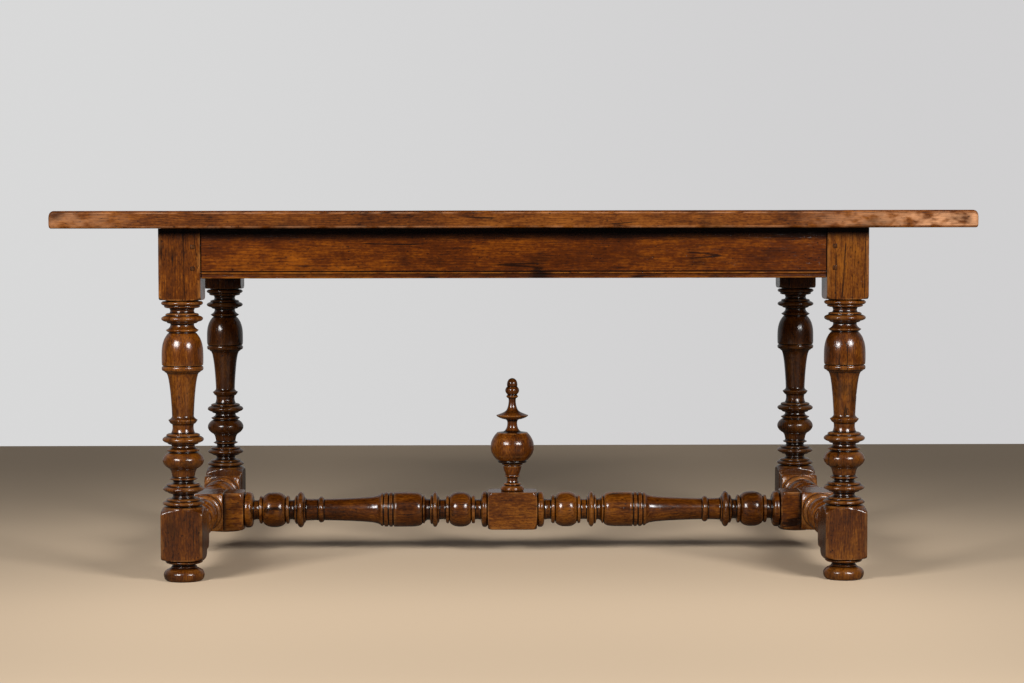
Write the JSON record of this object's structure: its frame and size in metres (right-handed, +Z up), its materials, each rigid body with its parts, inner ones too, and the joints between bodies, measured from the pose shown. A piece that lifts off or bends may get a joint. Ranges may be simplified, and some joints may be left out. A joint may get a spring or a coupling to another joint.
{
  "type": "dining table",
  "caption": "Long rectangular oak dining table on turned legs with square blocks, moulded aprons and a turned H stretcher that carries an urn finial at its middle.",
  "frame": {"origin": "on the floor under the middle of the table", "axes": "+X along the table to the right as seen from the front, +Y to the back, +Z up"},
  "size_m": [1.876, 0.98, 0.76],
  "materials": {
    "top_oak": "old waxed oak, orange brown, worn along the edges",
    "frame_oak": "old waxed oak, red brown, dark in the hollows",
    "apron_oak": "old waxed oak, red brown, flat sawn",
    "peg_oak": "riven oak, dark end grain",
    "bare_oak": "unpolished oak, grey brown"
  },
  "bodies": {
    "root": {"top_board_1": "top_oak", "top_board_2": "top_oak", "top_board_3": "top_oak", "top_board_4": "top_oak", "top_tongues": "bare_oak", "top_pegs": "peg_oak", "leg_front_left": "frame_oak", "leg_front_right": "frame_oak", "leg_back_left": "frame_oak", "leg_back_right": "frame_oak", "apron_front": "apron_oak", "apron_back": "apron_oak", "apron_left": "apron_oak", "apron_right": "apron_oak", "apron_pegs": "peg_oak", "cross_rail_left": "bare_oak", "cross_rail_right": "bare_oak", "stretcher_left": "frame_oak", "stretcher_right": "frame_oak", "stretcher_long": "frame_oak", "stretcher_pegs": "peg_oak", "finial": "frame_oak"}
  },
  "joints": []
}
